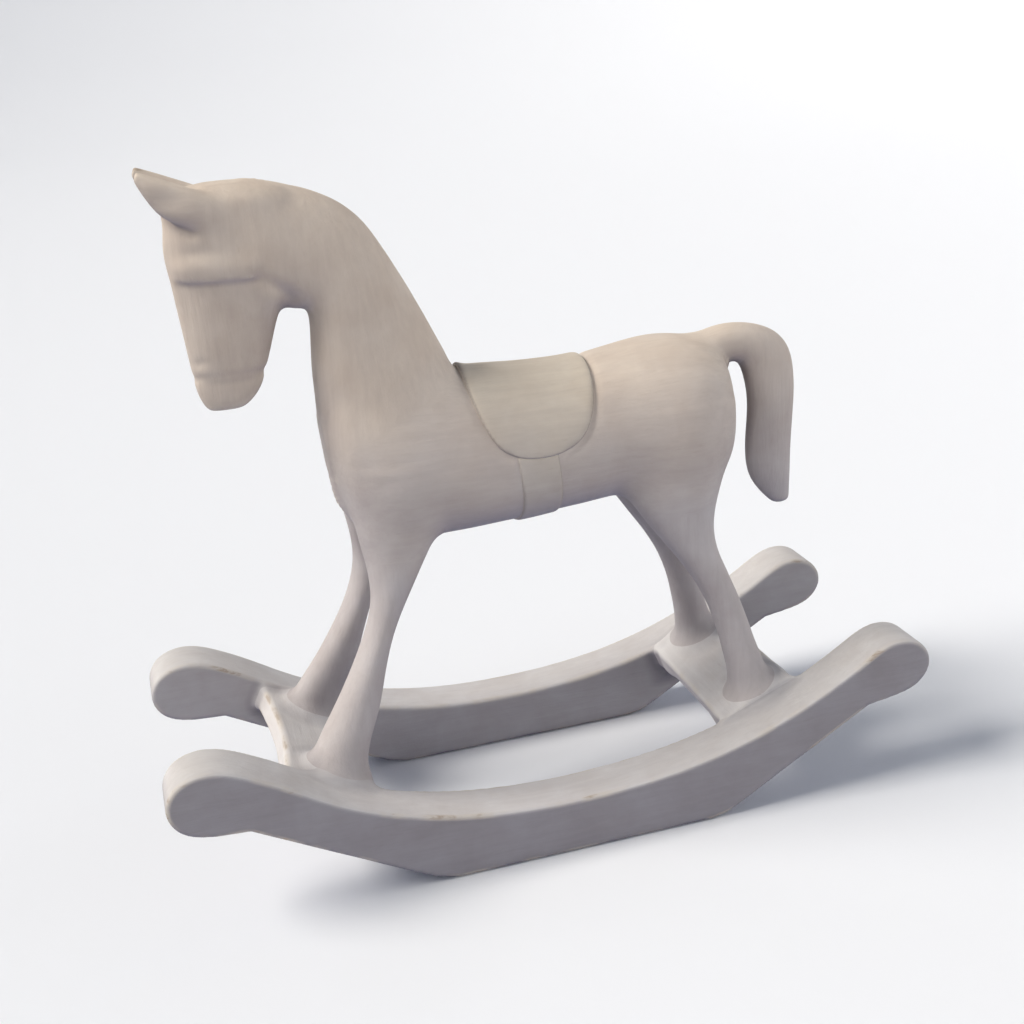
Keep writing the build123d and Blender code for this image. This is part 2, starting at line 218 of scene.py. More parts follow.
# ---------------------------------------------------------------- limbs
class Limb:
    """A carved form given by slices across it. Each slice is seen from the side as a line between two points of the
    outline, (x, z), and has a place and a half width along Y, and a crown that narrows its first end."""

    SAMPLES = 260  # slices to search for the nearest one
    REACH = 0.04  # how far outside its outline a limb's field is worked out
    BULGE = 1.4  # room for the half width between slices
    END_STEP = 0.02  # how far back along t an end's direction is measured

    def __init__(self, slices, power=2.0, ends=(6 * MM, 6 * MM), mirrored=False):
        first, second = np.array([s[0] for s in slices]), np.array([s[1] for s in slices])
        y, width, crown = (np.array([s[i] for s in slices]) for i in (2, 3, 4))
        middle = (first + second) / 2
        steps = np.linalg.norm(np.diff(middle, axis=0), axis=1)
        at = np.concatenate([[0], np.cumsum(steps)]) / steps.sum()
        curves = [cubic(at, c) for c in (first[:, 0], first[:, 1], second[:, 0], second[:, 1], y, width, crown)]
        self.t = np.linspace(0, 1, self.SAMPLES)
        self.curves, self.power, self.ends, self.mirrored = curves, power, ends, mirrored
        samples = [c(self.t) for c in curves]
        self.low = (min(samples[0].min(), samples[2].min()), min(samples[1].min(), samples[3].min()))
        self.high = (max(samples[0].max(), samples[2].max()), max(samples[1].max(), samples[3].max()))
        self.side = (samples[4] + samples[5] * self.BULGE).max()

    def box(self):
        low = (self.low[0] - self.REACH, -self.side - self.REACH, self.low[1] - self.REACH)
        high = (self.high[0] + self.REACH, self.side + self.REACH, self.high[1] + self.REACH)
        return low, high

    def nearest(self, x, z):
        """For each point of the side view, the t of the slice that is nearest to it."""
        px, pz, qx, qz = (c(self.t)[None, None, :] for c in self.curves[:4])
        dx, dz = qx - px, qz - pz
        along = np.clip(((x[..., None] - px) * dx + (z[..., None] - pz) * dz) / (dx * dx + dz * dz), 0, 1)
        far = (x[..., None] - px - along * dx) ** 2 + (z[..., None] - pz - along * dz) ** 2
        i = np.clip(far.argmin(axis=2), 1, self.SAMPLES - 2)
        rows, columns = np.indices(i.shape)
        before, here, after = (far[rows, columns, i + k] for k in (-1, 0, 1))
        bend = before - 2 * here + after
        shift = np.where(bend > 1e-12, 0.5 * (before - after) / np.maximum(bend, 1e-12), 0)
        return np.clip((i + np.clip(shift, -1, 1)) / (self.SAMPLES - 1), 0, 1)

    def field(self, p):
        """The distance to the limb's surface, near enough, at the points p."""
        x, y, z = (a.astype(float) for a in p)
        flat_x, flat_z = np.broadcast_arrays(x[:, 0, :], z[:, 0, :])
        t = self.nearest(flat_x, flat_z)
        px, pz, qx, qz, middle_y, width, crown = (c(t) for c in self.curves)
        half = np.hypot(px - qx, pz - qz) / 2
        ux, uz = (px - qx) / (2 * half), (pz - qz) / (2 * half)
        off_x, off_z = flat_x - (px + qx) / 2, flat_z - (pz + qz) / 2
        along = off_x * ux + off_z * uz
        across = np.abs(off_x * uz - off_z * ux)
        beyond = np.maximum(np.abs(along) - half, 0)
        away = np.hypot(beyond, across)
        inner = (t > 0.001) & (t < 0.999)
        u = np.where(inner & (beyond > 0), 1 + away / half, np.abs(along) / half)
        side = np.sign(along) * np.minimum(np.abs(along) / half, 1)
        u, side, half, width, middle_y, crown = (a[:, None, :] for a in (u, side, half, width, middle_y, crown))
        wide = width * (1 - crown * side)
        from_y = np.abs(y) if self.mirrored else y
        v = np.abs(from_y - middle_y) / wide
        measure = (u ** self.power + v ** self.power) ** (1 / self.power)
        steep = np.sqrt((u / half) ** 2 + (v / wide) ** 2)
        field = measure * (measure - 1) / np.maximum(steep, 1e-4)
        for end, (at, sign) in zip(self.ends, ((0.0, -1), (1.0, 1))):
            field = smooth_max(field, self.beyond_end(flat_x, flat_z, at, sign)[:, None, :], end)
        return field

    def beyond_end(self, x, z, at, sign):
        """How far a point lies beyond the limb's first or last slice."""
        near = at - sign * self.END_STEP
        ax, az, bx, bz = (float(c(np.array(at))) for c in self.curves[:4])
        cx, cz, dx, dz = (float(c(np.array(near))) for c in self.curves[:4])
        lx, lz = ax - bx, az - bz
        nx, nz = lz, -lx
        outward = (ax + bx - cx - dx) * nx + (az + bz - cz - dz) * nz
        scale = math.copysign(math.hypot(nx, nz), outward)
        return ((x - (ax + bx) / 2) * nx + (z - (az + bz) / 2) * nz) / scale


def add_limb(block, limb, fillet):
    """Joins a limb to what a block holds so far."""
    ranges, p = block.part(*limb.box())
    block.field[ranges] = smooth_min(block.field[ranges], limb.field(p), fillet)


TORSO = [  # x, top z, bottom z, half width, crown
    (-0.2425, 0.565, 0.490, 0.028, 0.00),
    (-0.2325, 0.593, 0.452, 0.052, 0.00),
    (-0.2085, 0.604, 0.418, 0.074, 0.05),
    (-0.160, 0.606, 0.402, 0.088, 0.12),
    (-0.080, 0.604, 0.400, 0.091, 0.18),
    (0.000, 0.598, 0.4035, 0.088, 0.18),
    (0.090, 0.598, 0.4090, 0.086, 0.15),
    (0.170, 0.609, 0.4100, 0.090, 0.10),
    (0.230, 0.607, 0.408, 0.088, 0.06),
    (0.268, 0.592, 0.424, 0.070, 0.00),
    (0.286, 0.558, 0.455, 0.042, 0.00),
    (0.2915, 0.530, 0.480, 0.020, 0.00),
]
NECK = [  # crest (x, z), throat (x, z), half width, crown
    ((-0.050, 0.560), (-0.210, 0.450), 0.068, 0.15),
    ((-0.074, 0.608), (-0.2365, 0.520), 0.070, 0.20),
    ((-0.095, 0.656), (-0.2465, 0.580), 0.062, 0.25),
    ((-0.119, 0.7075), (-0.2465, 0.640), 0.053, 0.30),
    ((-0.147, 0.762), (-0.2440, 0.688), 0.047, 0.32),
    ((-0.181, 0.8105), (-0.2500, 0.701), 0.044, 0.30),
    ((-0.239, 0.8430), (-0.2640, 0.704), 0.044, 0.24),
    ((-0.300, 0.852), (-0.3000, 0.720), 0.042, 0.15),
]
HEAD = [  # z, front x, back x, half width, crown towards the back
    (0.857, -0.350, -0.300, 0.018, 0.00),
    (0.848, -0.381, -0.270, 0.030, 0.00),
    (0.825, -0.3975, -0.258, 0.040, -0.08),
    (0.790, -0.4000, -0.250, 0.045, -0.16),
    (0.750, -0.3975, -0.252, 0.047, -0.22),
    (0.712, -0.3945, -0.274, 0.040, -0.20),
    (0.670, -0.3910, -0.290, 0.033, -0.12),
    (0.635, -0.3880, -0.302, 0.0285, -0.06),
    (0.609, -0.3830, -0.316, 0.026, 0.00),
    (0.594, -0.3760, -0.333, 0.022, 0.00),
]
EAR = [  # upper (x, z), lower (x, z), middle y, half width
    ((-0.300, 0.830), (-0.330, 0.788), 0.021, 0.013),
    ((-0.330, 0.843), (-0.356, 0.803), 0.026, 0.016),
    ((-0.356, 0.854), (-0.384, 0.819), 0.030, 0.017),
    ((-0.387, 0.867), (-0.404, 0.836), 0.031, 0.014),
    ((-0.417, 0.879), (-0.421, 0.869), 0.030, 0.005),
]
FRONT_LEG = [  # z, front x, back x, middle y, half width
    (0.500, -0.216, -0.103, 0.043, 0.036),
    (0.440, -0.224, -0.111, 0.049, 0.037),
    (0.400, -0.219, -0.133, 0.053, 0.033),
    (0.345, -0.217, -0.168, 0.062, 0.028),
    (0.300, -0.230, -0.191, 0.065, 0.026),
    (0.250, -0.2555, -0.209, 0.071, 0.027),
    (0.200, -0.2875, -0.225, 0.079, 0.028),
    (0.160, -0.313, -0.242, 0.087, 0.030),
    (0.080, -0.330, -0.250, 0.092, 0.032),
]
REAR_LEG = [  # the same
    (0.520, 0.125, 0.279, 0.042, 0.036),
    (0.455, 0.113, 0.272, 0.048, 0.039),
    (0.400, 0.140, 0.252, 0.055, 0.036),
    (0.350, 0.174, 0.244, 0.063, 0.030),
    (0.300, 0.207, 0.258, 0.071, 0.026),
    (0.250, 0.230, 0.276, 0.078, 0.024),
    (0.200, 0.243, 0.290, 0.085, 0.025),
    (0.160, 0.250, 0.303, 0.090, 0.028),
    (0.070, 0.248, 0.335, 0.094, 0.031),
]
TAIL = [  # outer (x, z), inner (x, z), half width
    ((0.245, 0.603), (0.262, 0.556), 0.023),
    ((0.294, 0.614), (0.296, 0.562), 0.022),
    ((0.337, 0.608), (0.312, 0.557), 0.022),
    ((0.377, 0.582), (0.321, 0.532), 0.023),
    ((0.391, 0.522), (0.325, 0.498), 0.024),
    ((0.388, 0.455), (0.322, 0.446), 0.023),
    ((0.386, 0.400), (0.330, 0.392), 0.018),
    ((0.385, 0.355), (0.362, 0.353), 0.009),
]


def upright_slices(rows):
    """Limb slices from rows of (x, top z, bottom z, half width, crown)."""
    return [((x, top), (x, bottom), 0.0, width, crown) for x, top, bottom, width, crown in rows]


def level_slices(rows):
    """Limb slices from rows of (z, front x, back x, middle y, half width, crown), with the back as the first end."""
    return [((back, z), (front, z), y, width, crown) for z, front, back, y, width, crown in rows]


def horse_limbs():
    """Each limb of the horse, with the fillet that joins it to the ones before it."""
    head = [(z, front, back, 0.0, width, crown) for z, front, back, width, crown in HEAD]
    legs = [[(*row, 0.0) for row in rows] for rows in (FRONT_LEG, REAR_LEG)]
    tail = [(outer, inner, 0.0, width, 0.0) for outer, inner, width in TAIL]
    neck = [(crest, throat, 0.0, width, crown) for crest, throat, width, crown in NECK]
    return [
        (Limb(upright_slices(TORSO), power=2.2), 1 * MM),
        (Limb(neck, power=2.1), 15 * MM),
        (Limb(level_slices(head), power=2.7, ends=(3 * MM, 6 * MM)), 10 * MM),
        (Limb(level_slices(legs[0]), mirrored=True), 14 * MM),
        (Limb(level_slices(legs[1]), mirrored=True), 14 * MM),
        (Limb(tail), 12 * MM),
    ]


def ears():
    slices = [(upper, lower, y, width, 0.0) for upper, lower, y, width in EAR]
    return Limb(slices, mirrored=True, ends=(3 * MM, 1.5 * MM))


# ---------------------------------------------------------------- rockers and crossbars
ROCKER_TOP = [  # (x, z) from the notch under the front scroll, round it, along the top and round the rear scroll
    (-0.408, 0.128), (-0.450, 0.131), (-0.487, 0.145), (-0.500, 0.172), (-0.487, 0.2025), (-0.445, 0.2155),
    (-0.400, 0.2000), (-0.360, 0.177), (-0.300, 0.1395), (-0.200, 0.099), (-0.100, 0.0795), (0.0, 0.0745),
    (0.100, 0.0795), (0.200, 0.097), (0.300, 0.131), (0.360, 0.160), (0.400, 0.183), (0.445, 0.2045),
    (0.485, 0.1955), (0.500, 0.166), (0.487, 0.140), (0.450, 0.125), (0.410, 0.119),
]
# (x, z) along the underside, from the rear to the front: flat, with its two corners rounded off
ROCKER_UNDER = [(0.226, 0.0155), (0.206, 0.0052), (0.182, 0.0), (-0.160, 0.0), (-0.190, 0.0068), (-0.215, 0.0196)]
ROCKER_EDGE, ROCKER_POINTS = 3.5 * MM, 420
ROCKER_INSIDE = -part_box("left_rocker")[1][1] / LENGTH
ROCKER_HALF = (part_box("left_rocker")[1][1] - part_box("left_rocker")[0][1]) / LENGTH / 2
ROCKER_Y = ROCKER_INSIDE + ROCKER_HALF


def rocker_outline():
    """The rocker's side outline as a closed run of (x, z) points."""
    knots = np.array(ROCKER_TOP)
    steps = np.concatenate([[0], np.cumsum(np.linalg.norm(np.diff(knots, axis=0), axis=1))])
    t = np.linspace(0, steps[-1], ROCKER_POINTS)
    bow = np.stack([cubic(steps, knots[:, 0])(t), cubic(steps, knots[:, 1])(t)], axis=1)
    return np.concatenate([bow, ROCKER_UNDER])


def outline_distance(outline, x, z):
    """The distance from each (x, z) to a closed outline, negative inside."""
    best = np.full(np.broadcast(x, z).shape, 9.0)
    inside = np.zeros(best.shape, bool)
    for (ax, az), (bx, bz) in zip(outline, np.roll(outline, -1, axis=0)):
        dx, dz = bx - ax, bz - az
        along = np.clip(((x - ax) * dx + (z - az) * dz) / max(dx * dx + dz * dz, 1e-12), 0, 1)
        best = np.minimum(best, (x - ax - along * dx) ** 2 + (z - az - along * dz) ** 2)
        crosses = (az > z) != (bz > z)
        with np.errstate(divide="ignore", invalid="ignore"):
            inside ^= crosses & (x < ax + (z - az) * dx / dz)
    return np.where(inside, -1, 1) * np.sqrt(best)


def rocker_field(p):
    """The distance to either rocker: the outline, extruded, with rounded edges."""
    x, y, z = p
    side = outline_distance(rocker_outline(), x[:, 0, :], z[:, 0, :])[:, None, :] + ROCKER_EDGE
    thick = np.abs(np.abs(y) - ROCKER_Y) - ROCKER_HALF + ROCKER_EDGE
    outer = np.hypot(np.maximum(side, 0), np.maximum(thick, 0))
    return outer + np.minimum(np.maximum(side, thick), 0) - ROCKER_EDGE


BAR_PLACE = {"front": (-0.301, 0.137, 27.0), "rear": (0.277, 0.127, -24.5)}  # top's middle (x, z), tilt in degrees
BAR_HALF_LENGTH, BAR_THICKNESS, BAR_EDGE = 0.0575, 24 * MM, 5 * MM
BAR_WAIST = {"front": 8 * MM, "rear": 1 * MM}  # how far each long edge curves in halfway between the rockers
BAR_INTO_ROCKER = 2 * MM


def bar_field(end, p):
    """The distance to a crossbar, and the height above the plane of its top."""
    x, y, z = p
    at_x, at_z, tilt = BAR_PLACE[end]
    turn = math.radians(tilt)
    along = (x - at_x) * math.cos(turn) - (z - at_z) * math.sin(turn)
    above = (x - at_x) * math.sin(turn) + (z - at_z) * math.cos(turn)
    waist = BAR_WAIST[end] * (1 - np.minimum(np.abs(y) / ROCKER_INSIDE, 1) ** 2)
    side = np.abs(along) - BAR_HALF_LENGTH + waist + BAR_EDGE
    thick = np.abs(above + BAR_THICKNESS / 2) - BAR_THICKNESS / 2 + BAR_EDGE
    outer = np.hypot(np.maximum(side, 0), np.maximum(thick, 0))
    board = outer + np.minimum(np.maximum(side, thick), 0) - BAR_EDGE
    return np.maximum(board, np.abs(y) - ROCKER_INSIDE - BAR_INTO_ROCKER), above


# ---------------------------------------------------------------- carving
def carve(block, low, high, depth):
    """Cuts into a block within a box, as deep as the function depth says. A negative depth builds up."""
    ranges, p = block.part(low, high)
    block.field[ranges] += depth(p)


CHEEK_LEDGE_Z, MOUTH_Z = 0.753, 0.636
EAR_CREASE, THROAT_CREASE = ((-0.396, 0.832), (-0.366, 0.808)), ((-0.300, 0.752), (-0.262, 0.722))
NOSTRIL, NOSTRIL_RADII = (-0.378, 0.026, 0.655), (0.008, 0.016, 0.006)
EYE, EYE_RADII = (-0.362, 0.044, 0.785), (0.019, 0.020, 0.008)
LEDGE_DEPTH, CHEEK_SWELL, THROAT_DEPTH, EAR_CREASE_DEPTH = 4.4 * MM, 1.8 * MM, 2.5 * MM, 2.2 * MM
MOUTH_DEPTH, CHIN_DEPTH, NOSTRIL_DEPTH, EYE_DEPTH = 1.8 * MM, 3.4 * MM, 1.6 * MM, 1.6 * MM


def groove(start, end, x, z, width):
    """1 along a line from start to end in the side view, fading out over a width beside it."""
    dx, dz = end[0] - start[0], end[1] - start[1]
    along = np.clip(((x - start[0]) * dx + (z - start[1]) * dz) / (dx * dx + dz * dz), 0, 1)
    away = np.hypot(x - start[0] - along * dx, z - start[1] - along * dz)
    return np.exp(-(away / width) ** 2)


def head_details(p):
    """The ledge under the cheeks, the jaw, the mouth, the nostrils, and the creases of the eyes and under the ears."""
    x, y, z = p
    side = ramp(np.abs(y), 0.010, 0.026)
    jaw, muzzle = 1 - ramp(x, -0.310, -0.290), 1 - ramp(x, -0.290, -0.280)
    below = CHEEK_LEDGE_Z - z
    ledge = LEDGE_DEPTH * ramp(below, -0.002, 0.007) * (1 - 0.75 * ramp(below, 0.012, 0.10)) * jaw
    cheek = -CHEEK_SWELL * np.exp(-((below + 0.014) / 0.012) ** 2) * jaw
    throat = THROAT_DEPTH * groove(*THROAT_CREASE, x, z, 0.009)
    crease = EAR_CREASE_DEPTH * groove(*EAR_CREASE, x, z, 0.007)
    mouth = MOUTH_DEPTH * np.exp(-((z - MOUTH_Z) / 0.006) ** 2) * ramp(x, -0.394, -0.380)
    chin = CHIN_DEPTH * ramp(MOUTH_Z - z, 0.0, 0.009)
    nostrils = NOSTRIL_DEPTH * mound(p, NOSTRIL, NOSTRIL_RADII)
    eyes = EYE_DEPTH * mound(p, EYE, EYE_RADII)
    return side * (ledge + cheek + throat + crease) + muzzle * (mouth + side * chin) + nostrils + eyes


FACE_X, FACE_Z, FACE_LEAN, FACE_FLAT = -0.3990, 0.80, 0.062, 0.014  # a point of its front line, lean, flat half width
BEVEL_WAY, BEVEL_ROUNDING = (-0.787, 0.618), 2.5 * MM  # the way that the bevels face, along X and away from the middle


def bevel_face(block):
    """Cuts the long bevels down both sides of the face."""
    ranges, (x, y, z) = block.part((-0.43, -0.10, 0.60), (-0.34, 0.10, 0.86))
    front = FACE_X + FACE_LEAN * (FACE_Z - z)
    off = BEVEL_WAY[1] * (np.abs(y) - FACE_FLAT) + BEVEL_WAY[0] * (x - front)
    block.field[ranges] = smooth_max(block.field[ranges], off, BEVEL_ROUNDING)


def body_details(p):
    """The shoulders, the haunches and the hollows beside them."""
    shoulder = -3.0 * MM * mound(p, (-0.180, 0.080, 0.500), (0.050, 0.050, 0.070))
    haunch = -3.5 * MM * mound(p, (0.215, 0.080, 0.490), (0.050, 0.050, 0.070))
    flank = 2.5 * MM * mound(p, (0.118, 0.090, 0.455), (0.030, 0.040, 0.050))
    elbow = 2.0 * MM * mound(p, (-0.108, 0.085, 0.440), (0.025, 0.030, 0.045))
    return shoulder + haunch + flank + elbow


def handwork(p):
    """The slight waviness that a spokeshave leaves. It only takes wood away, up to about half a millimetre."""
    x, y, z = p
    long_wave = np.sin(31 * x + 2.1) * np.sin(47 * z + 17 * y) + np.sin(23 * y - 37 * z + 0.7)
    short_wave = np.sin(89 * x - 53 * z + 1.3) * np.sin(97 * y + 61 * z)
    return 0.36 * MM + 0.13 * MM * long_wave + 0.10 * MM * short_wave


HORSE_LOW, HORSE_HIGH = (-0.43, -0.15, 0.08), (0.41, 0.15, 0.91)
BASE_LOW, BASE_HIGH = (-0.512, -0.195, -0.012), (0.512, 0.195, 0.272)
FOOT_FILLET, BAR_FILLET, EAR_FILLET = 26 * MM, 10 * MM, 6 * MM
HEAD_BOX = ((-0.43, -0.10, 0.58), (-0.24, 0.10, 0.86))
BODY_BOX = ((-0.30, -0.15, 0.35), (0.32, 0.15, 0.65))
FLAP_BOX = ((-0.12, -0.15, 0.47), (0.12, 0.15, 0.66))
EAR_BOX = ((-0.44, -0.07, 0.76), (-0.29, 0.07, 0.90))
EAR_HOLLOW, EAR_HOLLOW_RADII, EAR_HOLLOW_DEPTH = (-0.390, 0.050, 0.846), (0.020, 0.014, 0.012), 5 * MM
FEET_FADE = 0.03  # the height over which the feet's fillets fade out, at the top of the base's block


def carved_horse():
    """The horse without its ears, saddle and girth."""
    block = Block((BASE_LOW[0], BASE_LOW[1], BASE_LOW[2]), (BASE_HIGH[0], BASE_HIGH[1], HORSE_HIGH[2]))
    for limb, fillet in horse_limbs():
        add_limb(block, limb, fillet)
    bevel_face(block)
    carve(block, *HEAD_BOX, head_details)
    carve(block, *BODY_BOX, body_details)
    carve(block, *FLAP_BOX, flap_groove)
    carve(block, HORSE_LOW, HORSE_HIGH, handwork)
    return block


def carved_ears():
    """Both ears, each hollowed on its lower side."""
    block = Block(*EAR_BOX)
    p = block.everywhere()
    block.field = ears().field(p) + EAR_HOLLOW_DEPTH * mound(p, EAR_HOLLOW, EAR_HOLLOW_RADII)
    return block


SCREW_Y, SINK_RADIUS, SINK_DEPTH = 0.088, 6 * MM, 3 * MM
ROCKER_HANDWORK, SKIN_HANDWORK = 0.6, 0.5  # their handwork, as a share of the horse's


def sawn_bars():
    """Both crossbars, with the sinks of their screws."""
    block = Block(BASE_LOW, BASE_HIGH)
    p = block.everywhere()
    for end, (at_x, at_z, tilt) in BAR_PLACE.items():
        board, above = bar_field(end, p)
        turn = math.radians(tilt)
        along = (p[0] - at_x) * math.cos(turn) - (p[2] - at_z) * math.sin(turn)
        away = np.hypot(along, np.abs(p[1]) - SCREW_Y)
        sink = np.maximum(away - SINK_RADIUS, above + BAR_THICKNESS - SINK_DEPTH)
        block.field = np.minimum(block.field, np.maximum(board, -sink))
    block.field += handwork(p)
    return block


def sawn_rockers():
    block = Block(BASE_LOW, BASE_HIGH)
    p = block.everywhere()
    block.field = rocker_field(p) + ROCKER_HANDWORK * handwork(p)
    return block


def joined(horse, ears, bars, rockers):
    """Everything as one surface, with fillets of filler and paint along the joints."""
    block = Block(BASE_LOW, (BASE_HIGH[0], BASE_HIGH[1], HORSE_HIGH[2]))
    block.field = horse.field.copy()
    ranges, _ = block.part(ears.low - VOXEL / 2, [axis[-1] + VOXEL / 2 for axis in ears.axes])
    block.field[ranges] = smooth_min(block.field[ranges], ears.field, EAR_FILLET)
    ranges, _ = block.part(bars.low - VOXEL / 2, [axis[-1] + VOXEL / 2 for axis in bars.axes])
    base = smooth_min(bars.field, rockers.field, BAR_FILLET)
    fade = ramp(block.axes[2][ranges[2]], BASE_HIGH[2], BASE_HIGH[2] - FEET_FADE)
    fused = smooth_min(block.field[ranges], base, FOOT_FILLET)
    block.field[ranges] += (fused - block.field[ranges]) * fade
    return block


FLAP_X, FLAP_HALF, FLAP_LOW, FLAP_TOP = 0.012, 0.074, 0.499, 0.72  # middle, half width, lowest and highest Z
FLAP_KNEE_Z, FLAP_SHOULDER, FLAP_POINTS = 0.555, (0.051, 0.514), 90
FLAP_SKIN, FLAP_EDGE, FLAP_GROOVE, FLAP_GROOVE_WIDTH = 3.2 * MM, 4 * MM, 1.8 * MM, 5 * MM
GIRTH_X, GIRTH_HALF, GIRTH_TOP, GIRTH_SWAY, GIRTH_SKIN = 0.005, 0.027, 0.53, 0.004, 2.3 * MM
UNDER_FLAP = 2 * MM  # how far the girth reaches under the saddle
SUNK = 5 * MM  # how deep the saddle and the girth are let into the body


def flap_outline():
    """The saddle's side outline: a U whose open end lies above the back."""
    half = [(0, FLAP_LOW), FLAP_SHOULDER, (FLAP_HALF, FLAP_KNEE_Z), (FLAP_HALF, FLAP_TOP)]
    knots = np.array([(-x, z) for x, z in half[:0:-1]] + half)
    steps = np.concatenate([[0], np.cumsum(np.linalg.norm(np.diff(knots, axis=0), axis=1))])
    t = np.linspace(0, steps[-1], FLAP_POINTS)
    return np.stack([FLAP_X + cubic(steps, knots[:, 0])(t), cubic(steps, knots[:, 1])(t)], axis=1)


def flap_rim(p):
    """The distance outside the saddle's outline."""
    return outline_distance(flap_outline(), p[0][:, 0, :], p[2][:, 0, :])[:, None, :]


def flap_groove(p):
    """The soft groove carved round the saddle. It stops at the girth."""
    x, _, z = p
    beside = 1 - (1 - ramp(np.abs(x - GIRTH_X), GIRTH_HALF, GIRTH_HALF + 0.010)) * (1 - ramp(z, 0.53, 0.55))
    return FLAP_GROOVE * np.exp(-((flap_rim(p) - 1 * MM) / FLAP_GROOVE_WIDTH) ** 2) * beside


def skin(body, rim, thickness, p):
    """A skin on the horse within a rim, given as a distance from it."""
    outer = smooth_max(body.field - thickness + SKIN_HANDWORK * handwork(p), rim, FLAP_EDGE)
    body.field = np.maximum(outer, -body.field - SUNK)
    return body


def saddle(horse):
    body = horse.cropped((-0.11, -0.13, 0.47), (0.11, 0.13, 0.70))
    p = body.everywhere()
    return skin(body, flap_rim(p), FLAP_SKIN, p)


def girth(horse):
    """A band round the belly, from one side of the saddle to the other."""
    body = horse.cropped((-0.05, -0.13, 0.37), (0.05, 0.13, GIRTH_TOP))
    p = body.everywhere()
    x, _, z = p
    band = np.maximum(np.abs(x - GIRTH_X + GIRTH_SWAY * np.sin(26 * z)) - GIRTH_HALF, z - GIRTH_TOP + 0.005)
    return skin(body, np.maximum(band, -flap_rim(p) - UNDER_FLAP), GIRTH_SKIN, p)


FRONT_LEG_DOWELS = [  # the two ends of each of the left leg's dowels
    ((-0.200, -0.060, 0.365), (-0.196, -0.046, 0.465)),
    ((-0.179, -0.060, 0.365), (-0.160, -0.046, 0.465)),
]
DOWEL_RADIUS, DOWEL_EDGE = 6 * MM, 1.5 * MM


def turned_dowels(ends):
    """Dowels with rounded ends, and the same on the other side."""
    block = Block((-0.23, -0.08, 0.34), (-0.13, 0.08, 0.49))
    x, y, z = block.everywhere()
    for start, finish in ends:
        middle, half = (np.array(start) + finish) / 2, (np.array(finish) - start) / 2
        reach = float(np.linalg.norm(half))
        off = (x - middle[0], -np.abs(y) - middle[1], z - middle[2])
        along = sum(o * h for o, h in zip(off, half)) / reach
        away = np.sqrt(np.maximum(sum(o * o for o in off) - along ** 2, 0))
        rod = smooth_max(away - DOWEL_RADIUS, np.abs(along) - reach, DOWEL_EDGE)
        block.field = np.minimum(block.field, rod)
    return block


# ---------------------------------------------------------------- meshes and pieces
def new_object(name, mesh):
    piece = bpy.data.objects.new(name, mesh)
    bpy.context.scene.collection.objects.link(piece)
    return piece


def new_mesh(points, faces):
    mesh = bpy.data.meshes.new("part")
    mesh.from_pydata((points * LENGTH).tolist(), [], faces)
    return mesh


def points_of(mesh):
    """The mesh's points, as fractions of LENGTH."""
    points = np.empty(len(mesh.vertices) * 3)
    mesh.vertices.foreach_get("co", points)
    return points.reshape(-1, 3) / LENGTH


def cut_along(mesh, value):
    """Adds edges to a mesh where the function value crosses 0."""
    values = value(points_of(mesh))
    bm = bmesh.new()
    bm.from_mesh(mesh)
    fresh = []
    for edge in bm.edges[:]:
        start, end = values[edge.verts[0].index], values[edge.verts[1].index]
        if start * end < 0:
            fresh.append(bmesh.utils.edge_split(edge, edge.verts[0], start / (start - end))[1])
    bmesh.ops.connect_verts(bm, verts=fresh)
    bm.to_mesh(mesh)
    bm.free()


def kept(mesh, chosen, flat):
    """The chosen faces as a new mesh, with its openings capped: by flat faces, or by fans round a middle point."""
    corners = np.empty(len(mesh.loops), int)
    mesh.loops.foreach_get("vertex_index", corners)
    totals = np.empty(len(mesh.polygons), int)
    mesh.polygons.foreach_get("loop_total", totals)
    corners = corners[np.repeat(chosen, totals)]
    used, corners = np.unique(corners, return_inverse=True)
    faces = [face.tolist() for face in np.split(corners, np.cumsum(totals[chosen])[:-1])]
    part = new_mesh(points_of(mesh)[used], faces)
    bm = bmesh.new()
    bm.from_mesh(part)
    rim = [edge for edge in bm.edges if edge.is_boundary]
    caps = bmesh.ops.holes_fill(bm, edges=rim, sides=0)["faces"]
    if flat:
        bmesh.ops.triangulate(bm, faces=caps)
    else:
        bmesh.ops.poke(bm, faces=caps)
    bm.to_mesh(part)
    bm.free()
    return part


def divide(mesh, value, flat=True):
    """Cuts a mesh where the function value is 0, into the parts where it is below and above 0."""
    cut_along(mesh, value)
    centres = np.empty(len(mesh.polygons) * 3)
    mesh.polygons.foreach_get("center", centres)
    low = value(centres.reshape(-1, 3) / LENGTH) < 0
    return kept(mesh, low, flat), kept(mesh, ~low, flat)


def plane(point, normal):
    """The signed distance from a plane through (x, y, z)."""
    return lambda points: (points - np.array(point)) @ np.array(normal, float)


TAIL_JOINT_X, LEG_JOINT_Z, HEAD_JOINT_X, LAMINATION_HALF = 0.3085, 0.392, -0.262, 24 * MM
EAR_BASE, EAR_WAY = (-0.352, 0.825), (0.95, -0.31)  # (x, z) of the ears' joint plane, and the way into the head
NECK_JOINT = ((-0.066, 0.606), (-0.250, 0.530))  # two points of the plane between neck and torso, (x, z)
LEFT_OR_RIGHT = plane((0, 0, 0), (0, 1, 0))
FRONT_OR_REAR = plane((0, 0, 0), (1, 0, 0))


